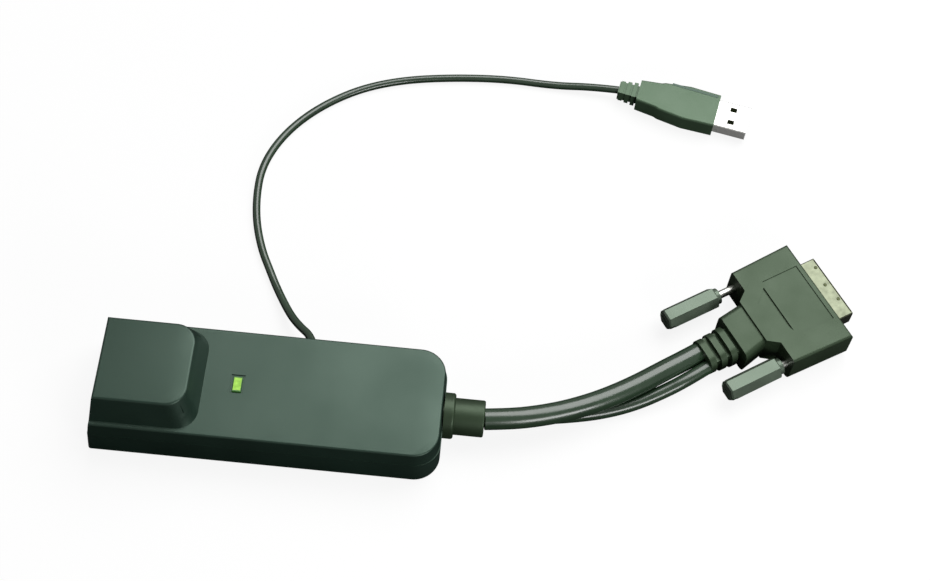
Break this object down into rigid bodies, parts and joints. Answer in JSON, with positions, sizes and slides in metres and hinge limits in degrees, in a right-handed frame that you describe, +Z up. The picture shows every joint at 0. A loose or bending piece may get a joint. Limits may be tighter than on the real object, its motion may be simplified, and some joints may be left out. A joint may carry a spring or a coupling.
{
  "type": "kvm dongle",
  "caption": "Inline KVM adapter: a flat case with a network socket in its raised end, a DVI plug on a short twin cable and a USB plug on a longer thin cable.",
  "frame": {"origin": "under the middle of the case, on the surface it lies on (centre of the bottom of the case's bounding box, with the gland)", "axes": "+X along the case towards the twin cable's gland, +Y towards the thin cable's side, +Z up from the resting face"},
  "size_m": [0.255, 0.1691, 0.028],
  "materials": {
    "case_black": "fine satin texture",
    "plug_black": "moulded soft plastic",
    "cable_black": "satin cable jacket",
    "steel": "bright",
    "shell_metal": "plated sheet",
    "insulator": "off-white moulding",
    "socket_plastic": "moulded",
    "contact_gold": "gold flash",
    "board_green": "solder mask over laminate",
    "chip_black": "moulded epoxy",
    "capacitor": "can",
    "ferrite": "sintered",
    "header_white": "moulded",
    "lead_wire": "insulated wire",
    "lamp_lens": "tinted light pipe",
    "led_body": "chip lamp"
  },
  "bodies": {
    "main": {"lower_case": "case_black", "upper_case": "case_black", "indicator_lens": "lamp_lens", "indicator_led": "led_body", "main_board": "board_green", "socket_shield": "shell_metal", "network_socket": "socket_plastic", "socket_contacts": "contact_gold", "video_chip": "chip_black", "usb_chip": "chip_black", "memory_chip": "chip_black", "network_magnetics": "chip_black", "crystal": "shell_metal", "capacitors": "capacitor", "power_coil": "ferrite", "video_header": "header_white", "video_lead_plug": "header_white", "video_leads": "lead_wire", "usb_header": "header_white", "usb_lead_plug": "header_white", "usb_leads": "lead_wire", "case_screws": "steel", "cable_gland": "plug_black", "gland_sleeve": "cable_black", "rear_grommet": "plug_black", "video_cable_main": "cable_black", "video_cable_second": "cable_black", "usb_cable": "cable_black", "dvi_cover": "plug_black", "dvi_shell": "shell_metal", "dvi_pins": "contact_gold", "dvi_insulator": "insulator", "usb_cover": "plug_black", "usb_shell": "shell_metal", "usb_tongue": "socket_plastic", "usb_contacts": "contact_gold"},
    "far_clip": {"far_retaining_clip": "steel"},
    "far_screw": {"far_thumb_knob": "plug_black", "far_jackscrew": "steel"},
    "near_clip": {"near_retaining_clip": "steel"},
    "near_screw": {"near_thumb_knob": "plug_black", "near_jackscrew": "steel"}
  },
  "joints": [
    {"name": "far_screw_slide", "type": "slide", "parent": "main", "child": "far_clip", "axis": [0.8358, 0.549, 0], "range_m": [-0.0007, 0.0067]},
    {"name": "far_screw_turn", "type": "hinge", "parent": "far_clip", "child": "far_screw", "pos_m": [0.15058, 0.05855, 0.0064], "axis": [0.8358, 0.549, 0], "continuous": true},
    {"name": "near_screw_slide", "type": "slide", "parent": "main", "child": "near_clip", "axis": [0.8358, 0.549, 0], "range_m": [-0.0051, 0.0023]},
    {"name": "near_screw_turn", "type": "hinge", "parent": "near_clip", "child": "near_screw", "pos_m": [0.16887, 0.03071, 0.0064], "axis": [0.8358, 0.549, 0], "continuous": true}
  ]
}
